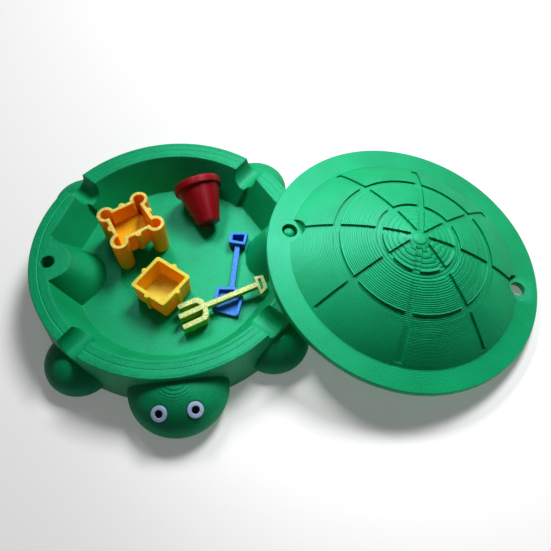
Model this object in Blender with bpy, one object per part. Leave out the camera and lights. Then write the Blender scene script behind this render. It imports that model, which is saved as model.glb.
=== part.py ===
"""A printed turtle sandbox in miniature: a basin with a head and four feet, a
round shell-shaped cover swung open on a loose pin, and five sand toys.

The basin's underside rests on z = 0 with its centre at the origin. The head
points to -Y and the pinned side of the cover is at +X.
"""
import math

import bmesh
import bpy
from mathutils import Matrix, Vector

MM = 0.001

# Basin
BASE_HEIGHT = 14 * MM
RIM_RADIUS = 40 * MM
GROUND_RADIUS = 40.9 * MM
RIM_INNER_RADIUS = 34.6 * MM
FLOOR_RADIUS = 28.8 * MM
FLOOR_HEIGHT = 4 * MM
PIN_CIRCLE = 34.6 * MM
PIN_HOLE_RADIUS = 2.0 * MM
PIN_HOLE_FLOOR = 8.9 * MM
NOTCH_WIDTH = 7.2 * MM
NOTCH_DEPTH = 4.3 * MM
BACKREST_ANGLE = 28
BACKREST_HALF = 8.2 * MM
BACKREST_CUT = 0.15 * MM

# Head and feet
HEAD_CENTRE = Vector((0, -38.8, 4.4)) * MM
HEAD_RADII = Vector((13.8, 13.8, 8.0)) * MM
FOOT_CIRCLE = 38.4 * MM
FOOT_HEIGHT = 2.8 * MM
FOOT_RADII = Vector((10.0, 10.0, 5.9)) * MM
EYE_SPOT = Vector((4.7, -47.6, 0)) * MM
EYE_RADIUS = 2.15 * MM
PUPIL_RADIUS = 0.95 * MM

# Cover
COVER_RADIUS = 40.75 * MM
FLANGE = 1.9 * MM
DOME_RADIUS = 34.4 * MM
DOME_HEIGHT = 12.0 * MM
SHELL = 1.6 * MM
GROOVE_WIDTH = 2.0 * MM
GROOVE_DEPTH = 0.7 * MM
HUB_RADIUS = 3.2 * MM
PLATE_ROWS = ((2.8, 5.4, 8.0, 10.4), (12.4, 15.4, 18.5, 21.6), (23.6, 27, 30.5, 34.2))
COVER_HOLE_RADIUS = 2.25 * MM
RECESS_RADIUS = 4.0 * MM
RECESS_STEP = 0.05 * MM
COLUMN_RADIUS = 5.4 * MM

# How the open cover leans on the rim
LIE = 0.2 * MM
OPEN_ANGLE = -16.54
LEAN_ANGLE = -8.2

# Loose toys
TOY_FLOOR = 4.2 * MM
CASTLE_TOWERS = ((-8.0, 17.4), (-17.7, 12.9), (-13.7, 3.0), (-3.3, 8.0))
SQUARE_CORNERS = ((-3.5, -0.6), (5.7, -8.7), (-2.4, -17.3), (-11.5, -9.3))


def clear_scene():
    for old in list(bpy.data.objects):
        bpy.data.objects.remove(old, do_unlink=True)


def plastic(name, colour, roughness):
    material = bpy.data.materials.new(name)
    material.use_nodes = True
    shader = material.node_tree.nodes["Principled BSDF"]
    shader.inputs["Base Color"].default_value = (*colour, 1)
    shader.inputs["Roughness"].default_value = roughness
    return material


def add_object(name, bm, material=None, sharp=35):
    """Turns a bmesh into an object; one with no material is a hidden helper."""
    bmesh.ops.recalc_face_normals(bm, faces=bm.faces)
    mesh = bpy.data.meshes.new(name)
    bm.to_mesh(mesh)
    bm.free()
    mesh.polygons.foreach_set("use_smooth", [True] * len(mesh.polygons))
    mesh.set_sharp_from_angle(angle=math.radians(sharp))
    obj = bpy.data.objects.new(name, mesh)
    bpy.context.scene.collection.objects.link(obj)
    if material:
        mesh.materials.append(material)
    else:
        obj.hide_render = True
        obj.display_type = "WIRE"
    return obj


def circle(radius, count, z=0, centre=(0, 0)):
    steps = [math.tau * i / count for i in range(count)]
    return [
        Vector((centre[0] + radius * math.cos(a), centre[1] + radius * math.sin(a), z))
        for a in steps
    ]


def loft(name, rings, material=None):
    """A closed body through rings of equal count, capped at both ends."""
    bm = bmesh.new()
    rows = [[bm.verts.new(point) for point in ring] for ring in rings]
    for low, high in zip(rows, rows[1:]):
        for i in range(len(low)):
            j = (i + 1) % len(low)
            bm.faces.new((low[i], low[j], high[j], high[i]))
    bm.faces.new(rows[0][::-1])
    bm.faces.new(rows[-1])
    return add_object(name, bm, material)


def turned(name, profile, count, material=None, frame=Matrix()):
    """A body of revolution about local Z; the profile starts and ends on it."""
    bm = bmesh.new()
    ends = [bm.verts.new((0, 0, profile[i][1])) for i in (0, -1)]
    rows = [[bm.verts.new(point) for point in circle(r, count, z)] for r, z in profile[1:-1]]
    for i in range(count):
        j = (i + 1) % count
        bm.faces.new((ends[0], rows[0][i], rows[0][j]))
        for low, high in zip(rows, rows[1:]):
            bm.faces.new((low[i], high[i], high[j], low[j]))
        bm.faces.new((ends[1], rows[-1][j], rows[-1][i]))
    bm.transform(frame)
    return add_object(name, bm, material)


def cylinder(name, radius, low, high, count, centre=(0, 0)):
    return loft(name, [circle(radius, count, z, centre) for z in (low, high)])


def ball(name, centre, radii, count, rings):
    """An ellipsoid made of level rings, with a point at the top and bottom."""
    profile = [(math.sin(math.pi * i / rings), math.cos(math.pi * i / rings)) for i in range(rings + 1)]
    frame = Matrix.Translation(centre) @ Matrix.Diagonal(radii).to_4x4()
    return turned(name, profile, count, None, frame)


def hull(name, points, material=None):
    bm = bmesh.new()
    for point in points:
        bm.verts.new(point)
    made = bmesh.ops.convex_hull(bm, input=bm.verts)
    loose = {item for item in made["geom_interior"] if isinstance(item, bmesh.types.BMVert)}
    bmesh.ops.delete(bm, geom=list(loose), context="VERTS")
    bmesh.ops.dissolve_limit(bm, angle_limit=0.001, verts=bm.verts, edges=bm.edges)
    return add_object(name, bm, material)


def combine(target, operation, *others):
    for other in others:
        step = target.modifiers.new(other.name, "BOOLEAN")
        step.operation = operation
        step.object = other


# ---- Basin ----------------------------------------------------------------


def head_height(x, y):
    """Height of the head's surface over a point in plan."""
    dx = (x - HEAD_CENTRE.x) / HEAD_RADII.x
    dy = (y - HEAD_CENTRE.y) / HEAD_RADII.y
    return HEAD_CENTRE.z + HEAD_RADII.z * math.sqrt(1 - dx * dx - dy * dy)


def eye_frame(side):
    """Z stands out of the head at the eye, with the origin on its surface."""
    spot = Vector((side * EYE_SPOT.x, EYE_SPOT.y, head_height(EYE_SPOT.x, EYE_SPOT.y)))
    away = spot - HEAD_CENTRE
    out = Vector([away[i] / HEAD_RADII[i] ** 2 for i in range(3)]).normalized()
    return Matrix.Translation(spot) @ out.to_track_quat("Z", "Y").to_matrix().to_4x4()


def basin_ring(z):
    """Inside of the basin at one height: a circle with two flat backrests."""
    radius = FLOOR_RADIUS + (RIM_INNER_RADIUS - FLOOR_RADIUS) * (z - FLOOR_HEIGHT) / (
        BASE_HEIGHT - FLOOR_HEIGHT
    )
    half = math.degrees(math.asin(BACKREST_HALF / radius))
    points = []
    spans = (
        (BACKREST_ANGLE, 180 - BACKREST_ANGLE, 16),
        (180 - BACKREST_ANGLE, 360 + BACKREST_ANGLE, 42),
    )
    for start, end, steps in spans:
        turn = Matrix.Rotation(math.radians(start), 3, "Z")
        for across in (-BACKREST_HALF, BACKREST_HALF):
            points.append(turn @ Vector((radius + BACKREST_CUT, across, z)))
        for i in range(steps + 1):
            angle = math.radians(start + half + (end - start - 2 * half) * i / steps)
            points.append(Vector((radius * math.cos(angle), radius * math.sin(angle), z)))
    return points


def boss(name, side, reach):
    """The block round a pin hole: five sloping faces with rounded corners."""
    top = [
        (38, 7.6), (33.9, 7.5), (31.6, 6.4), (29.6, 4.6), (28.6, 3.0), (28.2, 1.2),
        (28.3, -1.6), (28.9, -3.4), (30.2, -4.6), (33.8, -6.4), (38, -6.8),
    ]
    foot = [(36, 10), (36, -10)]
    for x, y in (
        (7.2, 9.7), (3.6, 7.6), (1.2, 4.8), (0.3, 2.4), (0.1, -1.6), (0.9, -4.0), (2.6, -6.2),
        (6.8, -9.6),
    ):
        foot.append((reach + x, y))
    points = []
    for outline, z in ((top, 16), (top, 14), (foot, 4), (foot, 2)):
        for x, y in outline:
            points.append(Vector((side * x, y, z)) * MM)
    return hull(name, points)


def notch(name, angle):
    """A round-bottomed channel cut outwards through the rim."""
    half = NOTCH_WIDTH / 2
    centre = BASE_HEIGHT - NOTCH_DEPTH + half
    outline = [(-half, BASE_HEIGHT + 2 * MM)]
    for i in range(11):
        a = math.pi + math.pi * i / 10
        outline.append((half * math.cos(a), centre + half * math.sin(a)))
    outline.append((half, BASE_HEIGHT + 2 * MM))
    turn = Matrix.Rotation(math.radians(angle), 3, "Z")
    rings = [[turn @ Vector((r * MM, u, z)) for u, z in outline] for r in (27, 46)]
    return loft(name, rings)


def make_basin(material):
    overshoot = 2 * MM
    flare = (GROUND_RADIUS - RIM_RADIUS) / BASE_HEIGHT * overshoot
    profile = [
        (0, BASE_HEIGHT + overshoot),
        (RIM_RADIUS - flare, BASE_HEIGHT + overshoot),
        (GROUND_RADIUS + flare, -overshoot),
        (0, -overshoot),
    ]
    basin = turned("sandbox_base", profile, 80, material)
    combine(basin, "UNION", ball("head_form", HEAD_CENTRE, HEAD_RADII, 40, 18))
    for i in range(4):
        angle = math.radians(45 + 90 * i)
        centre = Vector((FOOT_CIRCLE * math.cos(angle), FOOT_CIRCLE * math.sin(angle), FOOT_HEIGHT))
        combine(basin, "UNION", ball(f"foot_form_{i}", centre, FOOT_RADII, 28, 14))
    hollow = loft("basin_hollow", [basin_ring(z) for z in (FLOOR_HEIGHT, BASE_HEIGHT + 2 * overshoot)])
    combine(basin, "DIFFERENCE", hollow)
    combine(basin, "UNION", boss("boss_left", -1, 20), boss("boss_right", 1, 21.6))
    slab = cylinder("slab", 80 * MM, 0, BASE_HEIGHT, 12)
    combine(basin, "INTERSECT", slab)
    for i in range(4):
        combine(basin, "DIFFERENCE", notch(f"notch_{i}", 45 + 90 * i))
    for side, word in ((-1, "left"), (1, "right")):
        hole = cylinder(
            f"pin_bore_{word}", PIN_HOLE_RADIUS, PIN_HOLE_FLOOR, BASE_HEIGHT + overshoot, 24,
            (side * PIN_CIRCLE, 0),
        )
        bore = EYE_RADIUS + 0.15 * MM
        profile = [(0, 2 * MM), (bore, 2 * MM), (bore, -0.8 * MM), (0, -0.8 * MM)]
        seat = turned(f"eye_seat_{word}", profile, 24, None, eye_frame(side))
        combine(basin, "DIFFERENCE", hole, seat)
    return basin


def make_eye(side, word, white, black):
    ring = [
        (0, -0.1 * MM),
        (PUPIL_RADIUS + 0.12 * MM, -0.1 * MM),
        (PUPIL_RADIUS + 0.12 * MM, 0.35 * MM),
        (EYE_RADIUS - 0.1 * MM, 0.35 * MM),
        (EYE_RADIUS, 0.25 * MM),
        (EYE_RADIUS, -0.65 * MM),
        (0, -0.65 * MM),
    ]
    turned(f"eye_white_{word}", ring, 24, white, eye_frame(side))
    button = [
        (0, 0.42 * MM),
        (PUPIL_RADIUS - 0.2 * MM, 0.38 * MM),
        (PUPIL_RADIUS, 0.25 * MM),
        (PUPIL_RADIUS, 0.02 * MM),
        (0, 0.02 * MM),
    ]
    turned(f"pupil_{word}", button, 16, black, eye_frame(side))


# ---- Cover and its pin ----------------------------------------------------


def cover_frames():
    """The line the cover leans on, the cover's swivel and its centre."""
    centre = Vector((PIN_CIRCLE, 0, 0)) + PIN_CIRCLE * Vector(
        (math.cos(math.radians(OPEN_ANGLE)), math.sin(math.radians(OPEN_ANGLE)), 0)
    )
    down = Vector((math.cos(math.radians(LEAN_ANGLE)), math.sin(math.radians(LEAN_ANGLE)), 0))
    reach = centre.dot(down) + COVER_RADIUS - RIM_RADIUS
    lean = math.asin(BASE_HEIGHT / reach)
    contact = RIM_RADIUS * down + Vector((0, 0, BASE_HEIGHT))
    axis = Vector((0, 0, 1)).cross(down)
    tilt = Matrix.Rotation(lean, 4, axis)
    hinge = Matrix.Translation(contact) @ tilt
    swivel = hinge @ Matrix.Translation(Vector((PIN_CIRCLE, 0, BASE_HEIGHT)) - contact)
    turn = Matrix.Rotation(math.radians(OPEN_ANGLE), 4, "Z")
    return hinge, swivel @ turn @ Matrix.Translation((0, 0, LIE))


def dome_rise(radius):
    """Height of the dome's outside above the flange."""
    sphere = (DOME_RADIUS**2 + DOME_HEIGHT**2) / (2 * DOME_HEIGHT)
    return math.sqrt(sphere**2 - radius**2) - (sphere - DOME_HEIGHT)


def dome_inside(radius):
    sphere = (DOME_RADIUS**2 + DOME_HEIGHT**2) / (2 * DOME_HEIGHT)
    return math.sqrt((sphere - SHELL) ** 2 - radius**2) - (sphere - DOME_HEIGHT)


def shell_plate(name, rows, sector):
    """One raised plate of the shell: a patch of dome between the grooves."""
    outside, inside = [], []
    for radius in [r * MM for r in rows]:
        edge = math.asin(GROOVE_WIDTH / 2 / radius)
        start = math.radians(45 * sector) + edge
        end = math.radians(45 * (sector + 1)) - edge
        line = [start + (end - start) * i / 5 for i in range(6)]
        across = [Vector((radius * math.cos(a), radius * math.sin(a), 0)) for a in line]
        outside.append([p + Vector((0, 0, FLANGE + dome_rise(radius))) for p in across])
        inside.append([p + Vector((0, 0, FLANGE + dome_rise(radius) - 1.2 * MM)) for p in across])
    bm = bmesh.new()
    top = [[bm.verts.new(p) for p in row] for row in outside]
    low = [[bm.verts.new(p) for p in row] for row in inside]
    last, side = len(rows) - 1, 5
    for i in range(last):
        for j in range(side):
            bm.faces.new((top[i][j], top[i + 1][j], top[i + 1][j + 1], top[i][j + 1]))
            bm.faces.new((low[i][j], low[i][j + 1], low[i + 1][j + 1], low[i + 1][j]))
        for j in (0, side):
            bm.faces.new((top[i][j], low[i][j], low[i + 1][j], top[i + 1][j]))
    for j in range(side):
        for i in (0, last):
            bm.faces.new((top[i][j], top[i][j + 1], low[i][j + 1], low[i][j]))
    return add_object(name, bm)


def make_cover(material):
    """Built about the swivel: the cover's centre is one hole radius along +X."""
    groove_rows = [0, 4, 8, 12, 16, 20, 24, 28, 31, 33.4]
    profile = [(r * MM, FLANGE + dome_rise(r * MM) - GROOVE_DEPTH) for r in groove_rows]
    profile += [(33.42 * MM, FLANGE), (COVER_RADIUS - 0.3 * MM, FLANGE)]
    profile += [(COVER_RADIUS, FLANGE - 0.3 * MM)]
    profile += [(COVER_RADIUS, 0), (0, 0)]
    to_centre = Matrix.Translation((PIN_CIRCLE, 0, 0))
    cover = turned("cover", profile, 80, material, to_centre)
    top = FLANGE + DOME_HEIGHT
    foot = top - 1.5 * MM
    hub_profile = [(0, top), (HUB_RADIUS, top - 0.03 * MM), (HUB_RADIUS, foot), (0, foot)]
    hub = turned("hub_form", hub_profile, 24, None, to_centre)
    combine(cover, "UNION", hub)
    for row, rows in enumerate(PLATE_ROWS):
        for sector in range(8):
            plate = shell_plate(f"plate_{row}_{sector}", rows, sector)
            plate.matrix_world = to_centre
            combine(cover, "UNION", plate)
    rows = [0, 5, 10, 15, 20, 25, 29, 32]
    profile = [(r * MM, FLANGE + dome_inside(r * MM)) for r in rows]
    rim = (DOME_RADIUS - 1.0 * MM, FLANGE + dome_inside(DOME_RADIUS - 1.0 * MM))
    hollow = turned("dome_hollow", profile + [rim, (rim[0], -1 * MM), (0, -1 * MM)], 64, None, to_centre)
    for side, word in ((0, "near"), (2, "far")):
        spot = (side * PIN_CIRCLE, 0)
        column = cylinder(f"column_{word}", COLUMN_RADIUS, -2 * MM, 8 * MM, 28, spot)
        combine(hollow, "DIFFERENCE", column)
        recess = cylinder(f"recess_{word}", RECESS_RADIUS, FLANGE - RECESS_STEP, 12 * MM, 32, spot)
        hole = cylinder(f"hole_{word}", COVER_HOLE_RADIUS, -1 * MM, 6 * MM, 24, spot)
        combine(cover, "DIFFERENCE", recess, hole)
    combine(cover, "DIFFERENCE", hollow)
    return cover


def make_pin(material):
    """A round-topped peg, thin at the foot so that it can lean in its hole."""
    profile = [
        (0, 1.35 * MM), (1.0 * MM, 1.22 * MM), (1.5 * MM, 0.9 * MM), (1.7 * MM, 0.5 * MM),
        (1.7 * MM, -1.5 * MM), (1.05 * MM, -4.8 * MM), (0, -4.8 * MM),
    ]
    return turned("pivot_pin", profile, 24, material)


# ---- Toys -----------------------------------------------------------------


def inset_square(corners, margin, z):
    """Four corners moved out (or in, when negative) from their centre."""
    middle = sum((Vector(c) for c in corners), Vector((0, 0))) / 4
    ring = []
    for corner in corners:
        away = Vector(corner) - middle
        grown = middle + away * (1 + margin * math.sqrt(2) / away.length)
        ring.append(Vector((grown.x, grown.y, z)) * MM)
    return ring


def side_bumps(name, corners, out, radius, low, high):
    """Small half-round pads at the middle of each side of a mould."""
    middle = sum((Vector(c) for c in corners), Vector((0, 0))) / 4
    for i in range(4):
        edge = (Vector(corners[i]) + Vector(corners[(i + 1) % 4])) / 2
        spot = (edge + (edge - middle).normalized() * out) * MM
        yield cylinder(f"{name}_{i}", radius * MM, low * MM, high * MM, 12, spot)


def make_castle_mould(material):
    """Four round towers joined by a shallower square, open at the top."""
    floor, top = 4.2, 16.3
    rings = [inset_square(CASTLE_TOWERS, 0.55, z) for z in (9.4, top)]
    castle = loft("castle_mould", rings, material)
    for i, spot in enumerate(CASTLE_TOWERS):
        spot = Vector(spot) * MM
        rings = [circle(r * MM, 20, z * MM, spot) for r, z in ((2.35, floor), (2.65, top))]
        combine(castle, "UNION", loft(f"tower_{i}", rings))
    combine(castle, "UNION", *side_bumps("castle_bump", CASTLE_TOWERS, 0.5, 0.95, 9.4, top))
    rings = [inset_square(CASTLE_TOWERS, -0.45, z) for z in (10.4, top + 1)]
    combine(castle, "DIFFERENCE", loft("castle_hollow", rings))
    for i, spot in enumerate(CASTLE_TOWERS):
        spot = Vector(spot) * MM
        rings = [circle(r * MM, 16, z * MM, spot) for r, z in ((1.45, 5.2), (1.7, top + 1))]
        combine(castle, "DIFFERENCE", loft(f"tower_bore_{i}", rings))
    return castle


def make_square_mould(material):
    floor, top = 4.2, 11.9
    rings = [inset_square(SQUARE_CORNERS, m, z) for m, z in ((-0.35, floor), (0, top))]
    mould = loft("square_mould", rings, material)
    combine(mould, "UNION", *side_bumps("square_bump", SQUARE_CORNERS, 0, 0.75, 5, top))
    rings = [inset_square(SQUARE_CORNERS, m, z) for m, z in ((-1.3, floor + 1), (-1.0, top + 1))]
    combine(mould, "DIFFERENCE", loft("square_hollow", rings))
    return mould


def make_bucket(material):
    """A tapered bucket with a rim band, lying with its mouth to the back wall."""
    length, mouth, foot = 13.5 * MM, 7.3 * MM, 3.6 * MM
    wall, band = 0.9 * MM, 2.4 * MM
    profile = [
        (0, 0), (foot - 0.5 * MM, 0), (foot, 0.5 * MM), (mouth - 0.8 * MM, length - band),
        (mouth, length - band + 0.2 * MM), (mouth, length - 0.2 * MM), (mouth - 0.2 * MM, length),
        (mouth - wall - 0.3 * MM, length), (foot - wall, 1.1 * MM), (0, 1.1 * MM),
    ]
    start = Vector((11.9, 12.1, 0)) * MM
    along = (Vector((9.4, 23.4, 0)) * MM - start).normalized()
    rise = math.atan((mouth - foot) / (length - band))
    direction = along * math.cos(rise) + Vector((0, 0, math.sin(rise)))
    start.z = TOY_FLOOR + foot * math.cos(rise)
    frame = Matrix.Translation(start) @ direction.to_track_quat("Z", "Y").to_matrix().to_4x4()
    return turned("bucket", profile, 32, material, frame)


def slab_shape(name, outline, low, high, material=None):
    rings = [[Vector((x, y, z)) * MM for x, y in outline] for z in (low, high)]
    return loft(name, rings, material)


def bar_outline(start, end, width):
    start, end = Vector(start), Vector(end)
    aside = (end - start).normalized().orthogonal() * width / 2
    return [start - aside, end - aside, end + aside, start + aside]


def make_shovel(material):
    """Loop handle, straight shaft and a scoop with turned-up edges."""
    low = 4.2
    shovel = slab_shape("shovel", bar_outline((20.0, 5.2), (16.6, -11.5), 1.5), low, low + 1.7, material)
    loop = [(17.8, 8.5), (23.3, 7.6), (21.9, 3.5), (17.3, 4.9)]
    inner = [(18.7, 7.6), (22.3, 7.0), (21.5, 4.5), (18.4, 5.6)]
    blade = [(12.5, -9.6), (17.9, -10.4), (19.9, -13.9), (17.9, -19.6), (10.7, -16.6)]
    dish = [(13.2, -10.6), (17.4, -11.2), (18.9, -13.9), (17.3, -19.0), (11.7, -16.6)]
    mouth = [(11.7, -16.3), (17.4, -18.7), (17.6, -21), (10.4, -18)]
    combine(shovel, "UNION", slab_shape("shovel_loop", loop, low, low + 2.8))
    combine(shovel, "UNION", slab_shape("shovel_blade", blade, low, low + 2.0))
    combine(shovel, "DIFFERENCE", slab_shape("shovel_grip", inner, low - 1, low + 4))
    combine(shovel, "DIFFERENCE", slab_shape("shovel_dish", dish, low + 0.8, low + 4))
    combine(shovel, "DIFFERENCE", slab_shape("shovel_mouth", mouth, low + 0.8, low + 4))
    return shovel


def make_fork(material):
    """Loop handle, shaft and three tines, lying across the shovel's scoop."""
    low, high = 6.6, 8.2
    fork = slab_shape("fork", bar_outline((24.5, -11.3), (7.6, -16.9), 1.5), low, high, material)
    loop = [(23.5, -8.8), (26.2, -8.5), (27.1, -12.9), (24.9, -15.0)]
    inner = [(24.6, -9.7), (25.4, -9.6), (26.0, -12.6), (25.3, -13.4)]
    combine(fork, "UNION", slab_shape("fork_loop", loop, low, high))
    combine(fork, "DIFFERENCE", slab_shape("fork_grip", inner, low - 1, high + 1))
    back = [
        (5.9, -13.6), (7.2, -13.7), (8.6, -14.8), (9.6, -17.0), (9.8, -19.4), (9.2, -20.9),
        (8.1, -21.2), (7.7, -19.9), (8.2, -18.9), (8.2, -17.5), (7.5, -16.1), (6.6, -15.3),
        (6.0, -15.0),
    ]
    combine(fork, "UNION", slab_shape("fork_back", back, low - 1.29, high - 0.01))
    tines = (
        ((6.4, -14.35), (1.3, -16.1)), ((8.6, -16.6), (1.4, -19.2)), ((8.3, -20.4), (2.4, -22.6)),
    )
    for i, (start, end) in enumerate(tines):
        inset = 0.02 * (i + 1)
        tine = bar_outline(start, end, 1.4)
        bar = slab_shape(f"tine_{i}", tine, low - 1.3 + inset, high - inset)
        combine(fork, "UNION", bar)
    return fork


def main():
    clear_scene()
    green = (0.012, 0.38, 0.11)
    make_basin(plastic("green_base_plastic", green, 0.38))
    for side, word in ((-1, "left"), (1, "right")):
        make_eye(
            side, word,
            plastic(f"white_{word}", (0.5, 0.62, 0.85), 0.45),
            plastic(f"black_{word}", (0.01, 0.012, 0.03), 0.4),
        )
    hinge, swivel = cover_frames()
    lean_line = bpy.data.objects.new("cover_lean_line", None)
    bpy.context.scene.collection.objects.link(lean_line)
    lean_line.matrix_world = hinge
    cover = make_cover(plastic("green_cover_plastic", green, 0.34))
    pin = make_pin(plastic("green_pin_plastic", green, 0.38))
    for moving in (cover, pin):
        moving.parent = lean_line
        moving.matrix_parent_inverse = hinge.inverted()
        moving.matrix_world = swivel
    for helper in [m.object for m in cover.modifiers]:
        helper.parent = cover
        for inner in [m.object for m in helper.modifiers]:
            inner.parent = cover
    make_castle_mould(plastic("yellow_castle_plastic", (0.80, 0.35, 0.01), 0.42))
    make_square_mould(plastic("yellow_square_plastic", (0.80, 0.35, 0.01), 0.42))
    make_bucket(plastic("red_plastic", (0.25, 0.006, 0.01), 0.4))
    make_shovel(plastic("blue_plastic", (0.02, 0.12, 0.6), 0.4))
    make_fork(plastic("lime_plastic", (0.35, 0.55, 0.03), 0.45))


main()
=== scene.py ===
import math

import bmesh
import bpy
from mathutils import Matrix, Vector


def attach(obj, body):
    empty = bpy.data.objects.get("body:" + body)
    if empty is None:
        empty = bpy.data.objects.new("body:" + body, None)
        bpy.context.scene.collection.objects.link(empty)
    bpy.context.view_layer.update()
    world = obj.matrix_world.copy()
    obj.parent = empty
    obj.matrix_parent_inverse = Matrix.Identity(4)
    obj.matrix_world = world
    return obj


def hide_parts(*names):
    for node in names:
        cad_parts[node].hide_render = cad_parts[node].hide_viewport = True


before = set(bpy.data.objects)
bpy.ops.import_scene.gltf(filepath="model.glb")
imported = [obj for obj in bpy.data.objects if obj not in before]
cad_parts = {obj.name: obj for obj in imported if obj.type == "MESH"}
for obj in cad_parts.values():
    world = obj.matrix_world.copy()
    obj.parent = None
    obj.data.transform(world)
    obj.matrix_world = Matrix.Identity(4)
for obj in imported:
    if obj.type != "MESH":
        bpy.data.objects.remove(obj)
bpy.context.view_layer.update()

# A turtle sandbox printed in filament at dollhouse size. Lengths below are in
# millimetres; MM turns them to metres where a mesh or a material is made.
MM = 0.001

# How the printer lays it: a 0.4 mm nozzle squeezes each line to 0.45 mm wide,
# and every layer is 0.2 mm high.
LAYER = 0.2
LINE = 0.45
LIP_DROP = 0.05  # how far a layer's edge rounds down
BALL_LIP, BALL_CREASE = 0.07, 0.03  # and in, and the crease under it, on head and feet
DOME_LIP, DOME_CREASE = 0.06, 0.02  # the same on the shell

# The basin's rim: outlines, a zig-zag fill between them and a seam in the middle.
RIM_SEAM = 37.4
RIM_FILL = 1.9  # half the width that the zig-zag fills
TOOTH = 0.6
SEAM_HALF = 0.1
SEAM_EDGE = 0.3

# Heights of the ridges, the rough grain and the seam.
BEAD_HEIGHT = 0.03
GRAIN_HEIGHT = 0.05
SEAM_DEPTH = 0.08

# How often each unevenness repeats, per millimetre: lines wander over about
# 1 mm, the melt is grainy at 0.4 mm, and its colour clouds over about 9 mm.
WANDER = 0.9
GRAIN = 2.6
CLOUD = 0.11

# Basin
BASE_HEIGHT = 14.0
RIM_RADIUS = 40.0
GROUND_RADIUS = 40.9
RIM_INNER = 34.6
FLOOR_RADIUS = 28.8
FLOOR = 4.0
PIN_CIRCLE = 34.6
PIN_HOLE = 2.0
PIN_HOLE_FLOOR = 8.9
NOTCH_HALF = 3.6
NOTCH_DEPTH = 4.3
NOTCH_FROM, NOTCH_TO = 27, 46
# Two flat backrests in the round wall, at this angle on either side.
BACKREST_ANGLE = 28
BACKREST_HALF = 8.2
BACKREST_CUT = 0.15
BACK_ARC_STEPS, FRONT_ARC_STEPS = 64, 150
HEAD_CENTRE = Vector((0, -38.8, 4.4))
HEAD_RADII = Vector((13.8, 13.8, 8.0))
FOOT_CIRCLE = 38.4
FOOT_LIFT = 2.8
FOOT_RADII = Vector((10.0, 10.0, 5.9))
EYE_SPOT = Vector((4.7, -47.6))
EYE_RADIUS = 2.15
EYE_SEAT_GAP = 0.15
EYE_SEAT_DEPTH = 0.8
PUPIL_RADIUS = 0.95
PUPIL_GAP = 0.12

# Cover
COVER_RADIUS = 40.75
FLANGE = 1.9
DOME_RADIUS = 34.4
DOME_HEIGHT = 12.0
DOME_SPHERE = (DOME_RADIUS**2 + DOME_HEIGHT**2) / (2 * DOME_HEIGHT)
SHELL = 1.6
GROOVE_HALF = 1.0
GROOVE_DEPTH = 0.7
GROOVE_END = 33.3
PLATE_BANDS = ((2.8, 10.4), (12.4, 21.6), (23.6, 34.4))
COVER_HOLE = 2.25
RECESS = 4.0
COLUMN = 5.4  # solid plastic left round each hole, under the dome
HUB = 2.2
LIE = 0.2  # gap that keeps the cover clear of the rim it leans on
OPEN_ANGLE = math.radians(-16.54)
LEAN_ANGLE = math.radians(-8.2)

# Toys
TOY_FLOOR = 4.2
CASTLE_TOWERS = ((-8.0, 17.4), (-17.7, 12.9), (-13.7, 3.0), (-3.3, 8.0))
CASTLE_TOP = 16.3
SQUARE_CORNERS = ((-3.5, -0.6), (5.7, -8.7), (-2.4, -17.3), (-11.5, -9.3))
SQUARE_TOP = 11.9
BUCKET_LENGTH = 13.5
BUCKET_MOUTH = 7.3
BUCKET_FOOT = 3.6
BUCKET_WALL = 0.9
BUCKET_BAND = 2.4
BUCKET_FOOT_SPOT = (11.9, 12.1)
BUCKET_MOUTH_SPOT = (9.4, 23.4)
BAR = 1.5
SHOVEL_HEIGHT = 1.7
FORK_LOW, FORK_HIGH = 6.6, 8.2
TINE_DROP = 1.3  # how far the fork's head reaches below its handle


# ---- Shapes ---------------------------------------------------------------


def make_piece(name, bm, finish=None):
    """Makes an object of the scene, still in millimetres, from a bmesh."""
    bmesh.ops.recalc_face_normals(bm, faces=bm.faces)
    mesh = bpy.data.meshes.new(name)
    bm.to_mesh(mesh)
    bm.free()
    piece = bpy.data.objects.new(name, mesh)
    bpy.context.scene.collection.objects.link(piece)
    if finish:
        mesh.materials.append(finish)
    return piece


def circle(radius, count, z=0.0, centre=(0, 0)):
    turns = [math.tau * i / count for i in range(count)]
    return [
        Vector((centre[0] + radius * math.cos(a), centre[1] + radius * math.sin(a), z))
        for a in turns
    ]


def loft(name, rings, finish=None):
    """Skins rings of equal count into a closed solid."""
    bm = bmesh.new()
    rows = [[bm.verts.new(point) for point in ring] for ring in rings]
    for low, high in zip(rows, rows[1:]):
        for i in range(len(low)):
            j = (i + 1) % len(low)
            bm.faces.new((low[i], low[j], high[j], high[i]))
    bm.faces.new(rows[0][::-1])
    bm.faces.new(rows[-1])
    return make_piece(name, bm, finish)


def turned(name, profile, count, finish=None, place=Matrix()):
    """A body of revolution; the profile starts and ends on the axis."""
    bm = bmesh.new()
    start = bm.verts.new(place @ Vector((0, 0, profile[0][1])))
    end = bm.verts.new(place @ Vector((0, 0, profile[-1][1])))
    rows = [[bm.verts.new(place @ p) for p in circle(r, count, z)] for r, z in profile[1:-1]]
    for i in range(count):
        j = (i + 1) % count
        bm.faces.new((start, rows[0][i], rows[0][j]))
        for low, high in zip(rows, rows[1:]):
            bm.faces.new((low[i], high[i], high[j], low[j]))
        bm.faces.new((end, rows[-1][j], rows[-1][i]))
    return make_piece(name, bm, finish)


def rod(name, radius, low, high, count, centre=(0, 0)):
    return loft(name, [circle(radius, count, z, centre) for z in (low, high)])


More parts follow.
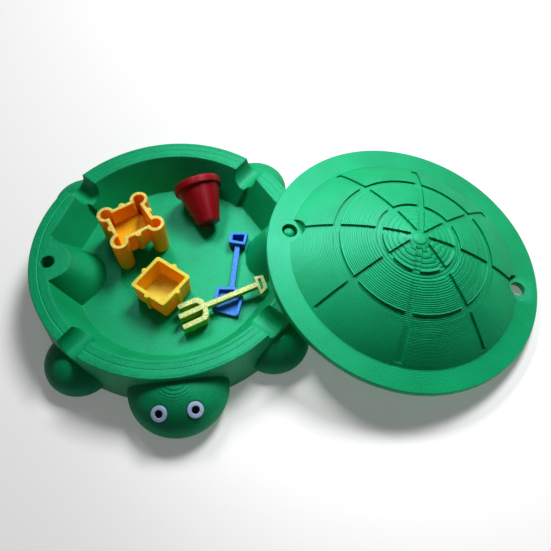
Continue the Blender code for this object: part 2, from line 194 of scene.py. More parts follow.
def joined(piece, steps):
    """Cuts or joins helper solids into a piece and keeps only the result."""
    for operation, helper in steps:
        step = piece.modifiers.new(helper.name, "BOOLEAN")
        step.operation = operation
        step.object = helper
    bpy.context.view_layer.update()
    piece.data = bpy.data.meshes.new_from_object(
        piece.evaluated_get(bpy.context.evaluated_depsgraph_get())
    )
    piece.modifiers.clear()
    for _, helper in steps:
        bpy.data.objects.remove(helper, do_unlink=True)
    return piece


def settle(piece, sharp=40, place=None):
    """Sets a finished piece in place, in metres, smooth between its sharp edges."""
    mesh = piece.data
    if place:
        mesh.transform(place)
    mesh.transform(Matrix.Scale(MM, 4))
    mesh.polygons.foreach_set("use_smooth", [True] * len(mesh.polygons))
    mesh.set_sharp_from_angle(angle=math.radians(sharp))
    return piece


def soften(piece, width, angle=40):
    """Rounds the edges that a nozzle can't print sharp."""
    bevel = piece.modifiers.new("nozzle_radius", "BEVEL")
    bevel.width = width * MM
    bevel.segments = 2
    bevel.limit_method = "ANGLE"
    bevel.angle_limit = math.radians(angle)
    return piece


# ---- Basin ----------------------------------------------------------------


def basin_ring(z):
    """Inside of the basin at one height: a circle with two flat backrests."""
    radius = FLOOR_RADIUS + (RIM_INNER - FLOOR_RADIUS) * (z - FLOOR) / (BASE_HEIGHT - FLOOR)
    half = math.degrees(math.asin(BACKREST_HALF / radius))
    points = []
    spans = (
        (BACKREST_ANGLE, 180 - BACKREST_ANGLE, BACK_ARC_STEPS),
        (180 - BACKREST_ANGLE, 360 + BACKREST_ANGLE, FRONT_ARC_STEPS),
    )
    for start, end, steps in spans:
        turn = Matrix.Rotation(math.radians(start), 3, "Z")
        for across in (-BACKREST_HALF, BACKREST_HALF):
            points.append(turn @ Vector((radius + BACKREST_CUT, across, z)))
        for i in range(steps + 1):
            angle = math.radians(start + half + (end - start - 2 * half) * i / steps)
            points.append(Vector((radius * math.cos(angle), radius * math.sin(angle), z)))
    return points


def boss(name, side, reach):
    """The block round a pin hole: five sloping faces with rounded corners."""
    top = [
        (38, 7.6), (33.9, 7.5), (31.6, 6.4), (29.6, 4.6), (28.6, 3.0), (28.2, 1.2),
        (28.3, -1.6), (28.9, -3.4), (30.2, -4.6), (33.8, -6.4), (38, -6.8),
    ]
    foot = [(36, 10), (36, -10)]
    for x, y in (
        (7.2, 9.7), (3.6, 7.6), (1.2, 4.8), (0.3, 2.4), (0.1, -1.6), (0.9, -4.0), (2.6, -6.2),
        (6.8, -9.6),
    ):
        foot.append((reach + x, y))
    bm = bmesh.new()
    for outline, z in ((top, BASE_HEIGHT), (foot, FLOOR), (foot, 2)):
        for x, y in outline:
            bm.verts.new((side * x, y, z))
    made = bmesh.ops.convex_hull(bm, input=bm.verts)
    inner = [item for item in made["geom_interior"] if isinstance(item, bmesh.types.BMVert)]
    bmesh.ops.delete(bm, geom=list(set(inner)), context="VERTS")
    bmesh.ops.dissolve_limit(bm, angle_limit=0.001, verts=bm.verts, edges=bm.edges)
    return make_piece(name, bm)


def notch(name, angle):
    """A round-bottomed channel cut outwards through the rim."""
    centre = BASE_HEIGHT - NOTCH_DEPTH + NOTCH_HALF
    outline = [(-NOTCH_HALF, BASE_HEIGHT + 2)]
    for i in range(25):
        a = math.pi + math.pi * i / 24
        outline.append((NOTCH_HALF * math.cos(a), centre + NOTCH_HALF * math.sin(a)))
    outline.append((NOTCH_HALF, BASE_HEIGHT + 2))
    turn = Matrix.Rotation(math.radians(angle), 3, "Z")
    ends = (NOTCH_FROM, NOTCH_TO)
    return loft(name, [[turn @ Vector((r, u, z)) for u, z in outline] for r in ends])


def make_basin(finish):
    profile = [(0, BASE_HEIGHT), (RIM_RADIUS, BASE_HEIGHT), (GROUND_RADIUS, 0), (0, 0)]
    basin = turned("basin_body", profile, 256, finish)
    steps = [
        ("DIFFERENCE", loft("basin_hollow", [basin_ring(z) for z in (FLOOR, BASE_HEIGHT + 4)])),
        ("UNION", boss("boss_left", -1, 20)),
        ("UNION", boss("boss_right", 1, 21.6)),
    ]
    for i in range(4):
        steps.append(("DIFFERENCE", notch(f"notch_{i}", 45 + 90 * i)))
    for side in (-1, 1):
        hole = rod(f"bore_{side}", PIN_HOLE, PIN_HOLE_FLOOR, 16, 64, (side * PIN_CIRCLE, 0))
        steps.append(("DIFFERENCE", hole))
    return joined(basin, steps)


def layered_ball(name, centre, radii, count, finish):
    """An ellipsoid as the printer lays it down: level rings, one per layer."""
    profile = []
    layers = int((centre.z + radii.z) / LAYER)
    for k in range(layers, 0, -1):
        middle = ((k - 0.5) * LAYER - centre.z) / radii.z
        if abs(middle) >= 1:
            continue
        radius = math.sqrt(1 - middle * middle) * radii.x
        if not profile:
            profile.append((0, k * LAYER))
        profile.append((radius - BALL_LIP, k * LAYER))
        profile.append((radius, k * LAYER - LIP_DROP))
        profile.append((radius, (k - 1) * LAYER + BALL_CREASE))
    profile.append((0, 0))
    ball = turned(name, profile, count, finish, Matrix.Translation((centre.x, centre.y, 0)))
    # What would reach through the wall into the sand is cut away.
    root = rod(f"{name}_root", RIM_RADIUS - 2, -1, 20, 96)
    return joined(ball, [("DIFFERENCE", root)])


def head_height(x, y):
    dx = (x - HEAD_CENTRE.x) / HEAD_RADII.x
    dy = (y - HEAD_CENTRE.y) / HEAD_RADII.y
    return HEAD_CENTRE.z + HEAD_RADII.z * math.sqrt(1 - dx * dx - dy * dy)


def eye_place(side):
    """Z stands out of the head at the eye, with the origin on its surface."""
    spot = Vector((side * EYE_SPOT.x, EYE_SPOT.y, head_height(EYE_SPOT.x, EYE_SPOT.y)))
    away = spot - HEAD_CENTRE
    out = Vector([away[i] / HEAD_RADII[i] ** 2 for i in range(3)]).normalized()
    return Matrix.Translation(spot) @ out.to_track_quat("Z", "Y").to_matrix().to_4x4()


def make_head(finish):
    """The head, with a round seat sunk for each eye."""
    head = layered_ball("head", HEAD_CENTRE, HEAD_RADII, 160, finish)
    steps = []
    bore = EYE_RADIUS + EYE_SEAT_GAP
    profile = [(0, 2), (bore, 2), (bore, -EYE_SEAT_DEPTH), (0, -EYE_SEAT_DEPTH)]
    for side in (-1, 1):
        seat = turned(f"eye_seat_{side}", profile, 48, None, eye_place(side))
        steps.append(("DIFFERENCE", seat))
    return joined(head, steps)


def make_eye(side, word, white, black):
    """A pale dished ring with a dark button in it."""
    bore = PUPIL_RADIUS + PUPIL_GAP
    ring = [
        (0, -0.1), (bore, -0.1), (bore, 0.27), (bore + 0.08, 0.35),
        (EYE_RADIUS - 0.16, 0.35), (EYE_RADIUS - 0.04, 0.3), (EYE_RADIUS, 0.18),
        (EYE_RADIUS, -0.65), (0, -0.65),
    ]
    white_ring = turned(f"eye_ring_{word}", ring, 64, white, eye_place(side))
    r = PUPIL_RADIUS
    button = [
        (0, 0.42), (r - 0.35, 0.41), (r - 0.12, 0.36), (r, 0.24), (r, 0.02), (0, 0.02),
    ]
    pupil = turned(f"eye_pupil_{word}", button, 48, black, eye_place(side))
    return white_ring, pupil


# ---- Cover and pin --------------------------------------------------------


def cover_place():
    """Where the open cover lies: leaning on the rim with its far edge down."""
    centre = Vector((PIN_CIRCLE, 0, 0)) + PIN_CIRCLE * Vector(
        (math.cos(OPEN_ANGLE), math.sin(OPEN_ANGLE), 0)
    )
    down = Vector((math.cos(LEAN_ANGLE), math.sin(LEAN_ANGLE), 0))
    reach = centre.dot(down) + COVER_RADIUS - RIM_RADIUS
    contact = RIM_RADIUS * down + Vector((0, 0, BASE_HEIGHT))
    tilt = Matrix.Rotation(math.asin(BASE_HEIGHT / reach), 4, Vector((0, 0, 1)).cross(down))
    swivel = Matrix.Translation(Vector((PIN_CIRCLE, 0, BASE_HEIGHT)) - contact)
    turn = Matrix.Rotation(OPEN_ANGLE, 4, "Z")
    return Matrix.Translation(contact) @ tilt @ swivel @ turn @ Matrix.Translation((0, 0, LIE))


def dome_height(radius, drop=0.0):
    rise = math.sqrt(DOME_SPHERE**2 - radius**2) - (DOME_SPHERE - DOME_HEIGHT)
    return FLANGE + rise - drop


def dome_rows(inner, outer, drop):
    """(radius, height) of the printed steps from one radius out to another."""
    rows = []
    top = int(dome_height(inner, drop) / LAYER) + 2
    for k in range(top, int(FLANGE / LAYER), -1):
        middle = (k - 0.5) * LAYER
        rise = middle - FLANGE + drop + DOME_SPHERE - DOME_HEIGHT
        if rise >= DOME_SPHERE:
            continue
        radius = math.sqrt(DOME_SPHERE**2 - rise**2)
        if radius <= inner:
            continue
        if not rows:
            rows.append((inner, k * LAYER))
        if radius >= outer:
            rows.append((outer, k * LAYER))
            return rows
        lip = min(DOME_LIP, (radius - inner) / 2)
        rows.append((radius - lip, k * LAYER))
        rows.append((radius, k * LAYER - LIP_DROP))
        rows.append((radius, (k - 1) * LAYER + DOME_CREASE))
    return rows


def add_plate(bm, inner, outer, sector):
    """One raised plate of the shell: printed steps on top, straight sides."""
    columns = max(6, int(outer * 0.9))

    def arc(radius, height):
        inset = math.asin(GROOVE_HALF / radius)
        first = math.radians(45 * sector) + inset
        last = math.radians(45 * (sector + 1)) - inset
        turns = [first + (last - first) * j / columns for j in range(columns + 1)]
        return [
            bm.verts.new((PIN_CIRCLE + radius * math.cos(a), radius * math.sin(a), height))
            for a in turns
        ]

    top = [arc(radius, height) for radius, height in dome_rows(inner, outer, 0)]
    steps = math.ceil(outer - inner)
    radii = [inner + (outer - inner) * i / steps for i in range(steps + 1)]
    low = [arc(radius, dome_height(radius) - GROOVE_DEPTH - 0.3) for radius in radii]
    for rows in (top, low, (top[0], low[0]), (top[-1], low[-1])):
        for one, other in zip(rows, rows[1:]):
            for j in range(columns):
                bm.faces.new((one[j], other[j], other[j + 1], one[j + 1]))
    for end in (0, -1):
        bm.faces.new([row[end] for row in top] + [row[end] for row in reversed(low)])


def recess_cut(name, low):
    """The two round wells that let a pin head sit down to the flange."""
    for side in (0, 2):
        spot = (side * PIN_CIRCLE, 0)
        yield "DIFFERENCE", rod(f"{name}_{side}", RECESS, low, 14, 96, spot)


def make_plates(finish):
    """Each band of eight plates is its own piece; the hub sits in the innermost."""
    bands = []
    for number, (inner, outer) in enumerate(PLATE_BANDS):
        bm = bmesh.new()
        for sector in range(8):
            add_plate(bm, inner, outer, sector)
        bands.append(make_piece(f"shell_plates_{number}", bm, finish))
    joined(bands[-1], list(recess_cut("plate_well", -2)))
    top = dome_height(0) - GROOVE_DEPTH + 0.3
    hub = [
        (0, top), (HUB - 0.6, top), (HUB - 0.2, top - 0.1), (HUB, top - 0.4), (HUB, top - 1),
        (0, top - 1),
    ]
    shift = Matrix.Translation((PIN_CIRCLE, 0, 0))
    return bands + [turned("shell_hub", hub, 64, finish, shift)]


def make_cover(finish):
    """Flange and the thin dome behind the plates, hollow beneath."""
    shift = Matrix.Translation((PIN_CIRCLE, 0, 0))
    # The grooves stop short of the flange, at a low ring under the plates' ends.
    profile = dome_rows(0, GROOVE_END, GROOVE_DEPTH)
    profile += dome_rows(GROOVE_END, DOME_RADIUS, 0.08)[:-1]
    profile += [
        (DOME_RADIUS + 0.01, FLANGE),
        (COVER_RADIUS - 0.25, FLANGE), (COVER_RADIUS - 0.07, FLANGE - 0.07),
        (COVER_RADIUS, FLANGE - 0.25), (COVER_RADIUS, 0.2), (COVER_RADIUS - 0.2, 0), (0, 0),
    ]
    cover = turned("cover_flange", profile, 256, finish, shift)
    inside = DOME_SPHERE - SHELL
    drop = DOME_SPHERE - DOME_HEIGHT
    edge = DOME_RADIUS - 1.0
    hollow = [(r, FLANGE + math.sqrt(inside**2 - r**2) - drop) for r in (*range(0, 33, 2), edge)]
    hollow += [(edge, -1), (0, -1)]
    room = turned("dome_hollow", hollow, 160, None, shift)
    columns, holes = [], []
    for side in (0, 2):
        spot = (side * PIN_CIRCLE, 0)
        columns.append(("DIFFERENCE", rod(f"column_{side}", COLUMN, -2, 8, 64, spot)))
        holes.append(("DIFFERENCE", rod(f"hole_{side}", COVER_HOLE, -1, 6, 64, spot)))
    steps = [("DIFFERENCE", joined(room, columns))]
    steps += list(recess_cut("well", FLANGE - 0.05)) + holes
    return joined(cover, steps)


def make_pin(finish):
    """The loose pin: a low rounded head on a shank that tapers to its end."""
    profile = [
        (0, 1.35), (0.55, 1.32), (1.0, 1.2), (1.4, 0.98), (1.62, 0.7), (1.7, 0.4),
        (1.7, -1.5), (1.05, -4.8), (0, -4.8),
    ]
    return turned("loose_pin", profile, 64, finish)


# ---- Toys -----------------------------------------------------------------


def grown_square(corners, margin, z, corner_radius=0.0, steps=6):
    """A square moved out (or in) from its centre, with rounded corners."""
    middle = sum((Vector(c) for c in corners), Vector((0, 0))) / 4
    grown = []
    for corner in corners:
        away = Vector(corner) - middle
        grown.append(middle + away * (1 + margin * math.sqrt(2) / away.length))
    if not corner_radius:
        return [Vector((p.x, p.y, z)) for p in grown]
    ring = []
    for i, corner in enumerate(grown):
        before = (grown[i - 1] - corner).normalized()
        after = (grown[(i + 1) % 4] - corner).normalized()
        start, end = corner + before * corner_radius, corner + after * corner_radius
        for j in range(steps + 1):
            t = j / steps
            point = start * (1 - t) ** 2 + corner * 2 * t * (1 - t) + end * t * t
            ring.append(Vector((point.x, point.y, z)))
    return ring


def side_bumps(corners, out, radius, low, high):
    """A half-round rib up the middle of each side."""
    middle = sum((Vector(c) for c in corners), Vector((0, 0))) / 4
    for i in range(4):
        edge = (Vector(corners[i]) + Vector(corners[(i + 1) % 4])) / 2
        spot = edge + (edge - middle).normalized() * out
        yield "UNION", rod(f"side_bump_{i}", radius, low, high, 24, spot)


def make_castle_mould(finish):
    """A square tray held up by four round towers, all open at the top."""
    tray_foot, tray_floor, top = 9.4, 10.4, CASTLE_TOP
    outer = [grown_square(CASTLE_TOWERS, 0.55, z) for z in (tray_foot, top)]
    castle = loft("castle_mould_shell", outer, finish)
    steps = []
    for i, spot in enumerate(CASTLE_TOWERS):
        rings = [circle(r, 48, z, spot) for r, z in ((2.35, TOY_FLOOR), (2.65, top))]
        steps.append(("UNION", loft(f"tower_{i}", rings)))
    steps += list(side_bumps(CASTLE_TOWERS, 0.5, 0.95, tray_foot, top))
    inner = [grown_square(CASTLE_TOWERS, -0.45, z) for z in (tray_floor, top + 1)]
    steps.append(("DIFFERENCE", loft("castle_hollow", inner)))
    for i, spot in enumerate(CASTLE_TOWERS):
        rings = [circle(r, 40, z, spot) for r, z in ((1.45, TOY_FLOOR + 1), (1.7, top + 1))]
        steps.append(("DIFFERENCE", loft(f"tower_bore_{i}", rings)))
    return joined(castle, steps)


def make_square_mould(finish):
    floor, top = TOY_FLOOR, SQUARE_TOP
    outer = ((-0.35, floor), (0, top))
    inner = ((-1.3, floor + 1), (-1.0, top + 1))
    rings = [grown_square(SQUARE_CORNERS, margin, z, 1.0) for margin, z in outer]
    mould = loft("square_mould_shell", rings, finish)
    steps = list(side_bumps(SQUARE_CORNERS, 0, 0.75, 5, top))
    rings = [grown_square(SQUARE_CORNERS, margin, z, 0.6) for margin, z in inner]
    steps.append(("DIFFERENCE", loft("square_hollow", rings)))
    return joined(mould, steps)


def bucket_place():
    """Z runs from the bucket's foot to its mouth as it lies on its side."""
    start = Vector((*BUCKET_FOOT_SPOT, 0))
    along = (Vector((*BUCKET_MOUTH_SPOT, 0)) - start).normalized()
    rise = math.atan((BUCKET_MOUTH - BUCKET_FOOT) / (BUCKET_LENGTH - BUCKET_BAND))
    direction = along * math.cos(rise) + Vector((0, 0, math.sin(rise)))
    start.z = TOY_FLOOR + BUCKET_FOOT * math.cos(rise)
    turn = direction.to_track_quat("Z", "Y").to_matrix().to_4x4()
    return Matrix.Translation(start) @ turn


def make_bucket(finish):
    """A tapered pail with a thick band round its mouth."""
    length, mouth, foot, wall = BUCKET_LENGTH, BUCKET_MOUTH, BUCKET_FOOT, BUCKET_WALL
    lip = length - BUCKET_BAND
    profile = [
        (0, 0), (foot - 0.5, 0), (foot - 0.15, 0.12), (foot, 0.5), (mouth - 0.8, lip),
        (mouth - 0.1, lip + 0.1), (mouth, lip + 0.3), (mouth, length - 0.4),
        (mouth - 0.1, length - 0.1), (mouth - 0.35, length), (mouth - wall, length),
        (mouth - wall - 0.3, length - 0.2), (foot - wall, 1.1), (0, 1.1),
    ]
    return turned("bucket_shell", profile, 128, finish)


def bar_outline(start, end, width=BAR):
    start, end = Vector(start), Vector(end)
    aside = (end - start).normalized().orthogonal() * width / 2
    return [start - aside, end - aside, end + aside, start + aside]


def plate(name, outline, low, high, finish=None):
    return loft(name, [[Vector((p[0], p[1], z)) for p in outline] for z in (low, high)], finish)


def make_shovel(finish):
    """Flat handle with a loop grip, and a dished blade open at its tip."""
    low = TOY_FLOOR
    shaft = bar_outline((20.0, 5.2), (16.6, -11.5))
    shovel = plate("shovel_body", shaft, low, low + SHOVEL_HEIGHT, finish)
    loop = [(17.8, 8.5), (23.3, 7.6), (21.9, 3.5), (17.3, 4.9)]
    inner = [(18.7, 7.6), (22.3, 7.0), (21.5, 4.5), (18.4, 5.6)]
    blade = [(12.5, -9.6), (17.9, -10.4), (19.9, -13.9), (17.9, -19.6), (10.7, -16.6)]
    dish = [(13.2, -10.6), (17.4, -11.2), (18.9, -13.9), (17.3, -19.0), (11.7, -16.6)]
    mouth = [(11.7, -16.3), (17.4, -18.7), (17.6, -21), (10.4, -18)]
    steps = [
        ("UNION", plate("shovel_loop", loop, low, low + 2.8)),
        ("UNION", plate("shovel_blade", blade, low, low + 2.0)),
        ("DIFFERENCE", plate("shovel_grip", inner, low - 1, low + 4)),
        ("DIFFERENCE", plate("shovel_dish", dish, low + 0.8, low + 4)),
        ("DIFFERENCE", plate("shovel_mouth", mouth, low + 0.8, low + 4)),
    ]
    return joined(shovel, steps)


def make_fork(finish):
    """Flat handle with a loop grip, and three tines on a curved back."""
    low, high = FORK_LOW, FORK_HIGH
    foot = low - TINE_DROP
    fork = plate("fork_body", bar_outline((24.5, -11.3), (7.6, -16.9)), low, high, finish)
    loop = [(23.5, -8.8), (26.2, -8.5), (27.1, -12.9), (24.9, -15.0)]
    inner = [(24.6, -9.7), (25.4, -9.6), (26.0, -12.6), (25.3, -13.4)]
    back = [
        (5.9, -13.6), (7.2, -13.7), (8.6, -14.8), (9.6, -17.0), (9.8, -19.4), (9.2, -20.9),
        (8.1, -21.2), (7.7, -19.9), (8.2, -18.9), (8.2, -17.5), (7.5, -16.1), (6.6, -15.3),
        (6.0, -15.0),
    ]
    steps = [
        ("UNION", plate("fork_loop", loop, low, high)),
        ("DIFFERENCE", plate("fork_grip", inner, low - 1, high + 1)),
        ("UNION", plate("fork_back", back, foot + 0.01, high - 0.01)),
    ]
    tines = (
        ((6.4, -14.35), (1.3, -16.1)), ((8.6, -16.6), (1.4, -19.2)), ((8.3, -20.4), (2.4, -22.6)),
    )
    for i, (start, end) in enumerate(tines):
        # Each tine is a hair thinner than the last, so that no two faces coincide.
        gap = 0.02 * (i + 1)
        tine = plate(f"tine_{i}", bar_outline(start, end), foot + gap, high - gap)
        steps.append(("UNION", tine))
    return joined(fork, steps)


# ---- Finishes -------------------------------------------------------------


def colour(hex_code):
    """sRGB hex to the linear colour that a shader takes."""
    parts = [int(hex_code[i : i + 2], 16) / 255 for i in (1, 3, 5)]
    linear = [c / 12.92 if c <= 0.04045 else ((c + 0.055) / 1.055) ** 2.4 for c in parts]
    return (*linear, 1)


def node(tree, kind, inputs=(), **settings):
    """Adds a node with its settings; an input is a value or the socket that feeds it."""
    made = tree.nodes.new(kind)
    for name, value in settings.items():
        setattr(made, name, value)
    for key, value in inputs.items() if isinstance(inputs, dict) else enumerate(inputs):
        if isinstance(value, bpy.types.NodeSocket):
            tree.links.new(value, made.inputs[key])
        else:
            made.inputs[key].default_value = value
    return made.outputs


MATHS = "ShaderNodeMath"
NOISE = "ShaderNodeTexNoise"
RANGE = "ShaderNodeMapRange"
PLACE = "ShaderNodeMapping"


def beads(tree, distance, pitch):
    """Height from 0 to 1 across round beads of filament laid side by side."""
    part = node(tree, MATHS, (distance, pitch), operation="DIVIDE")[0]
    part = node(tree, MATHS, (part,), operation="FRACT")[0]
    off = node(tree, MATHS, (part, 2.0, -1.0), operation="MULTIPLY_ADD")[0]
    off = node(tree, MATHS, (off,), operation="ABSOLUTE")[0]
    off = node(tree, MATHS, (off, 2.5), operation="POWER")[0]
    return node(tree, MATHS, (1.0, off), operation="SUBTRACT")[0]


def printing_place(tree, place):
    """Where a point lay on the printer's bed, in millimetres, and the way it faced."""
    sources = node(tree, "ShaderNodeTexCoord")
    spot = node(
        tree, "ShaderNodeVectorMath", {0: sources["Object"], "Scale": 1 / MM}, operation="SCALE"
    )[0]
    facing = sources["Normal"]
    if place:
        # The piece lies tilted, and its layers tilt with it.
        turn = place.to_euler()
        spot = node(
            tree, PLACE, {0: spot, "Location": place.translation, "Rotation": turn},
            vector_type="TEXTURE",
        )[0]
        facing = node(tree, PLACE, {0: facing, "Rotation": turn}, vector_type="TEXTURE")[0]
    return spot, facing


def ring_fill(tree, across, x, y, z, rings):
    """Level faces above a height are filled with rings, not with a raster. On the
    basin's rim a zig-zag fills the room between the outlines, round a sunken seam."""
    centre, height = rings
    flat = node(tree, "ShaderNodeCombineXYZ", (x, y, 0.0))[0]
    radius = node(tree, "ShaderNodeVectorMath", (flat, (centre, 0, 0)), operation="DISTANCE")[1]
    above = node(tree, MATHS, (z, height), operation="GREATER_THAN")[0]
    seam = None
    if not centre:
        angle = node(tree, MATHS, (y, x), operation="ARCTAN2")[0]
        teeth = node(tree, MATHS, (angle, RIM_SEAM * LINE / TOOTH), operation="MULTIPLY")[0]
        apart = node(tree, MATHS, (radius, RIM_SEAM), operation="SUBTRACT")[0]
        apart = node(tree, MATHS, (apart,), operation="ABSOLUTE")[0]
        inside = node(tree, RANGE, {0: apart, "From Min": RIM_FILL, "From Max": RIM_FILL - 0.3})[0]
        radius = node(tree, "ShaderNodeMix", {0: inside, 2: radius, 3: teeth})[0]
        seam = node(tree, RANGE, {0: apart, "From Min": SEAM_HALF, "From Max": SEAM_EDGE})[0]
        seam = node(tree, MATHS, (seam, -1.0), operation="ADD")[0]
        seam = node(tree, MATHS, (seam, above), operation="MULTIPLY")[0]
    return node(tree, "ShaderNodeMix", {0: above, 2: across, 3: radius})[0], seam


def printed_plastic(
    name, shade, deep, highlight_tint, roughness, place=None, rings=None, grain=0.5, highlight_level=0.5,
    soft=0.2, sheen_tint="#FFFFFF", top=0, glow=0.0,
):
    """PLA filament laid by a 0.4 mm nozzle in 0.2 mm layers. The beads show as
    ridges round the walls and as raster lines on level faces, the melt freezes
    with a silky gloss, and pale specks of painted highlight lie on level faces.

    grain is how rough the melt is, soft the rounding of edges in millimetres, top
    the height above which the painted highlight starts, and glow how much light it lets through."""
    material = bpy.data.materials.new(name)
    material.use_nodes = True
    tree = material.node_tree
    shader = tree.nodes["Principled BSDF"]
    spot, facing = printing_place(tree, place)
    x, y, z = node(tree, "ShaderNodeSeparateXYZ", (spot,))
    steep = node(tree, "ShaderNodeSeparateXYZ", (facing,))[2]
    steep = node(tree, MATHS, (steep,), operation="ABSOLUTE")[0]
    level = node(
        tree, RANGE, {0: steep, "From Min": 0.9, "From Max": 0.985}, interpolation_type="SMOOTHSTEP"
    )[0]
    wobble = node(tree, NOISE, {"Vector": spot, "Scale": WANDER, "Detail": 2.0})[0]
    fine = node(
        tree, NOISE, {"Vector": spot, "Scale": GRAIN, "Detail": 4.0, "Roughness": 0.65}
    )[0]
    broad = node(tree, NOISE, {"Vector": spot, "Scale": CLOUD, "Detail": 3.0})[0]

    # Relief: the raster runs at 45 degrees over level faces, the layers round walls.
    across = node(tree, MATHS, (x, y), operation="ADD")[0]
    across = node(tree, MATHS, (across, math.sqrt(0.5)), operation="MULTIPLY")[0]
    seam = None
    if rings:
        across, seam = ring_fill(tree, across, x, y, z, rings)
    across = node(tree, MATHS, (wobble, 0.16, across), operation="MULTIPLY_ADD")[0]
    raster = beads(tree, across, LINE)
    stacked = node(tree, MATHS, (wobble, 0.03, z), operation="MULTIPLY_ADD")[0]
    stack = beads(tree, stacked, LAYER)
    wall = node(tree, MATHS, (1.0, level), operation="SUBTRACT")[0]
    wall = node(tree, MATHS, (wall, stack), operation="MULTIPLY")[0]
    lines = node(tree, MATHS, (level, raster), operation="MULTIPLY")[0]
    height = node(tree, MATHS, (wall, BEAD_HEIGHT), operation="MULTIPLY")[0]
    height = node(tree, MATHS, (lines, BEAD_HEIGHT, height), operation="MULTIPLY_ADD")[0]
    height = node(tree, MATHS, (fine, GRAIN_HEIGHT * grain, height), operation="MULTIPLY_ADD")[0]
    if seam is not None:
        height = node(tree, MATHS, (seam, SEAM_DEPTH, height), operation="MULTIPLY_ADD")[0]
    relief = {"Height": height, "Distance": MM}
    if soft:
        # Edges too small to model catch the light as a rounded line.
        relief["Normal"] = node(tree, "ShaderNodeBevel", (soft * MM,), samples=4)[0]
    bump = node(tree, "ShaderNodeBump", relief)[0]
    tree.links.new(bump, shader.inputs["Normal"])

    # Colour: clouds of a deeper shade, and pale specks of painted highlight on level faces.
    cloud = node(tree, MATHS, (broad, 0.6), operation="MULTIPLY")[0]
    cloud = node(tree, MATHS, (fine, 0.4, cloud), operation="MULTIPLY_ADD")[0]
    tone = node(tree, RANGE, {0: cloud, "From Min": 0.35, "From Max": 0.65})[0]
    mixed = node(
        tree, "ShaderNodeMix", {0: tone, 6: colour(deep), 7: colour(shade)}, data_type="RGBA"
    )[2]
    specks = {0: fine, "From Min": 0.35, "From Max": 0.6, "To Max": highlight_level}
    painted_highlight = node(tree, RANGE, specks)[0]
    painted_highlight = node(tree, MATHS, (painted_highlight, level), operation="MULTIPLY")[0]
    if top:
        above_top = node(tree, MATHS, (z, top), operation="GREATER_THAN")[0]
        painted_highlight = node(tree, MATHS, (painted_highlight, above_top), operation="MULTIPLY")[0]
    highlighted = node(
        tree, "ShaderNodeMix", {0: painted_highlight, 6: mixed, 7: colour(highlight_tint)}, data_type="RGBA"
    )[2]
    tree.links.new(highlighted, shader.inputs["Base Color"])

    gloss = {
        0: fine, "From Min": 0.3, "From Max": 0.7,
        "To Min": roughness - 0.1, "To Max": roughness + 0.1,
    }
    tree.links.new(node(tree, RANGE, gloss)[0], shader.inputs["Roughness"])
    shader.inputs["IOR"].default_value = 1.46
    shader.inputs["Specular Tint"].default_value = colour(sheen_tint)
    # Thin walls of a light filament let some light through, red furthest.
    shader.inputs["Subsurface Weight"].default_value = glow
    shader.inputs["Subsurface Radius"].default_value = (1.0, 0.55, 0.1)
    shader.inputs["Subsurface Scale"].default_value = 2.5 * MM
    return material


# ---- Build ----------------------------------------------------------------

lying_cover = cover_place()
lying_bucket = bucket_place()

# Each finish takes a shade, a deeper shade and a pale highlight painted on level faces.
# Silky green PLA, the same spool for the basin, the cover and the pin: a clear
# green with a minty gloss. Fat lines leave the basin's edges soft to the eye.
green = ("#04A464", "#028C50", "#10B878")
mint = "#90F8FF"
green_basin = printed_plastic(
    "green_filament_basin", *green, 0.42, rings=(0, 13.5), soft=0.8, sheen_tint=mint
)
green_cover = printed_plastic(
    "green_filament_cover", *green, 0.4, lying_cover, (PIN_CIRCLE, 0.5), soft=0, sheen_tint=mint
)
green_pin = printed_plastic("green_filament_pin", *green, 0.4, lying_cover, sheen_tint=mint)

# Satin pale blue PLA for the eyes, and black PLA that swallows nearly all the light.
eye_pale = printed_plastic("pale_blue_filament", "#C0D4F4", "#A8BEE8", "#D8E4FA", 0.5, soft=0.08)
eye_dark = printed_plastic(
    "black_filament", "#04050C", "#020308", "#080A14", 0.6, soft=0.08, highlight_level=0.1,
    sheen_tint="#484850",
)

# Yellow PLA lets light through its single-line walls, so they glow orange inside.
# A cream highlight is painted on its level faces: on the castle's top edges only, and
# on both the top and the rough floor of the square mould.
amber = {"sheen_tint": "#FFD860", "glow": 1.0}
castle_yellow = printed_plastic(
    "yellow_filament_castle", "#FCB818", "#F6A408", "#FFF0A0", 0.42, highlight_level=0.8, top=16.0,
    **amber,
)
square_yellow = printed_plastic(
    "yellow_filament_square", "#FFCC20", "#FAB810", "#FFE870", 0.42, highlight_level=0.9, grain=1.4,
    **amber,
)

# Dark red PLA, printed slowly and the glossiest of the toys.
dark_red = printed_plastic(
    "dark_red_filament", "#9C0818", "#840412", "#A81428", 0.34, lying_bucket, sheen_tint="#FFA0A8"
)

# Blue PLA with a light blue highlight painted on its level faces.
blue = printed_plastic(
    "blue_filament", "#1C5CDC", "#1048C0", "#4C9CF4", 0.38, highlight_level=0.7, sheen_tint="#B0F0FF"
)

# Lime PLA, under-filled: its top face is rough with a nearly cream painted highlight, its sides are
# clear.
lime = printed_plastic(
    "lime_filament", "#98C018", "#80AC10", "#F0F4B8", 0.5, grain=1.6, highlight_level=0.9, top=8.0,
    glow=0.5,
)

basin = settle(make_basin(green_basin))
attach(basin, "basin")
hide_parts("sandbox_base")

limbs = [make_head(green_basin)]
for i in range(4):
    angle = math.radians(45 + 90 * i)
    centre = Vector((FOOT_CIRCLE * math.cos(angle), FOOT_CIRCLE * math.sin(angle), FOOT_LIFT))
    limbs.append(layered_ball(f"foot_{i}", centre, FOOT_RADII, 112, green_basin))
for limb in limbs:
    settle(limb, 60)
    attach(limb, "basin")

for side, word in ((-1, "left"), (1, "right")):
    ring, pupil = make_eye(side, word, eye_pale, eye_dark)
    for piece, cad_node, slot in ((ring, "eye_white", "eye_white"), (pupil, "pupil", "eye_black")):
        settle(piece)
        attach(piece, "basin")
        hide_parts(f"{cad_node}_{word}")

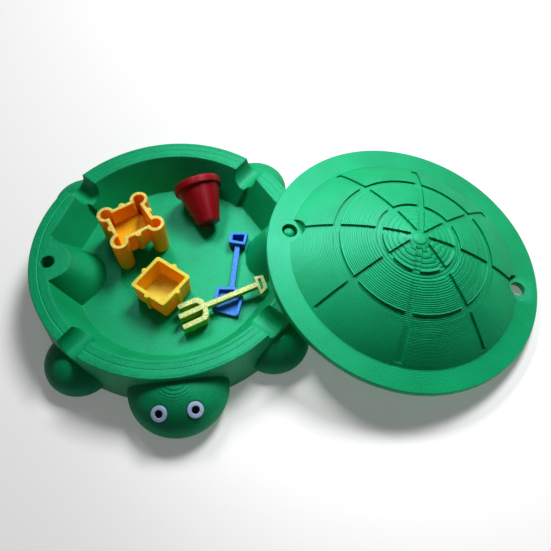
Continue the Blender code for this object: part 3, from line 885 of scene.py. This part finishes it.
flange = settle(make_cover(green_cover), 60, lying_cover)
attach(flange, "cover")
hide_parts("cover")
for plates in make_plates(green_cover):
    settle(plates, 60, lying_cover)
    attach(plates, "cover")
pin = settle(make_pin(green_pin), 40, lying_cover)
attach(pin, "leaning_pin")
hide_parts("pivot_pin")

# Each toy: how it is made, its filament, body, slot, edge rounding and place.
for make, finish, body, slot, edge, place in (
    (make_castle_mould, castle_yellow, "castle_mould", "yellow_castle", 0.1, None),
    (make_square_mould, square_yellow, "square_mould", "yellow_square", 0.12, None),
    (make_bucket, dark_red, "bucket", "red_bucket", 0, lying_bucket),
    (make_shovel, blue, "shovel", "blue_shovel", 0.15, None),
    (make_fork, lime, "fork", "lime_fork", 0.15, None),
):
    toy = settle(make(finish), 40, place)
    if edge:
        soften(toy, edge)
    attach(toy, body)
    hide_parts(body)


# ---- Floor, lights and camera ---------------------------------------------

bm = bmesh.new()
bmesh.ops.create_grid(bm, x_segments=2, y_segments=2, size=2000)
floor = settle(make_piece("floor", bm))

# Uncoated white paper, lit a little from beneath so that shadows on it stay pale.
paper = bpy.data.materials.new("white_paper")
paper.use_nodes = True
sheet = paper.node_tree.nodes["Principled BSDF"].inputs
sheet["Base Color"].default_value = (0.92, 0.92, 0.92, 1)
sheet["Roughness"].default_value = 0.9
sheet["Emission Color"].default_value = (1, 1, 1, 1)
sheet["Emission Strength"].default_value = 0.16
floor.data.materials.append(paper)

world = bpy.data.worlds.new("studio")
bpy.context.scene.world = world
world.use_nodes = True
room_light = world.node_tree.nodes["Background"].inputs
room_light["Color"].default_value = (1, 1, 1, 1)
room_light["Strength"].default_value = 0.06


def softbox(name, place, aim, size, power, spread=180):
    light = bpy.data.lights.new(name, "AREA")
    light.shape = "RECTANGLE"
    light.size, light.size_y = size[0] * MM, size[1] * MM
    light.energy = power
    light.spread = math.radians(spread)
    lamp = bpy.data.objects.new(name, light)
    bpy.context.scene.collection.objects.link(lamp)
    lamp.location = Vector(place) * MM
    lamp.rotation_mode = "QUATERNION"
    lamp.rotation_quaternion = (Vector(aim) - Vector(place)).to_track_quat("-Z", "Y")


# A large soft window behind on the right, and a narrow lamp that puts the sheen on
# the near flank of the dome.
softbox("window_light", (196, 240, 372), (10, -5, 5), (150, 150), 2.2)
softbox("snooted_lamp", (-14, 86, 146), (50, -16, 16), (46, 46), 0.022, 50)

camera_data = bpy.data.cameras.new("camera")
camera_data.sensor_width = 36
camera_data.lens = 44.14
camera = bpy.data.objects.new("camera", camera_data)
bpy.context.scene.collection.objects.link(camera)
azimuth, elevation, roll, distance = -0.0872, 1.0336, -0.0321, 4.7327 * RIM_RADIUS
back = Vector((
    math.sin(azimuth) * math.cos(elevation),
    -math.cos(azimuth) * math.cos(elevation),
    math.sin(elevation),
))
right = Vector((math.cos(azimuth), math.sin(azimuth), 0))
up = back.cross(right)
turned_right = right * math.cos(roll) + up * math.sin(roll)
turned_up = up * math.cos(roll) - right * math.sin(roll)
target = Vector((0.7383 * RIM_RADIUS, -0.3153 * RIM_RADIUS, BASE_HEIGHT))
axes = Matrix((turned_right, turned_up, back)).transposed().to_4x4()
camera.matrix_world = Matrix.Translation((target + back * distance) * MM) @ axes
camera_data.clip_start = 0.005
bpy.context.scene.camera = camera
bpy.context.scene.view_settings.view_transform = "Standard"
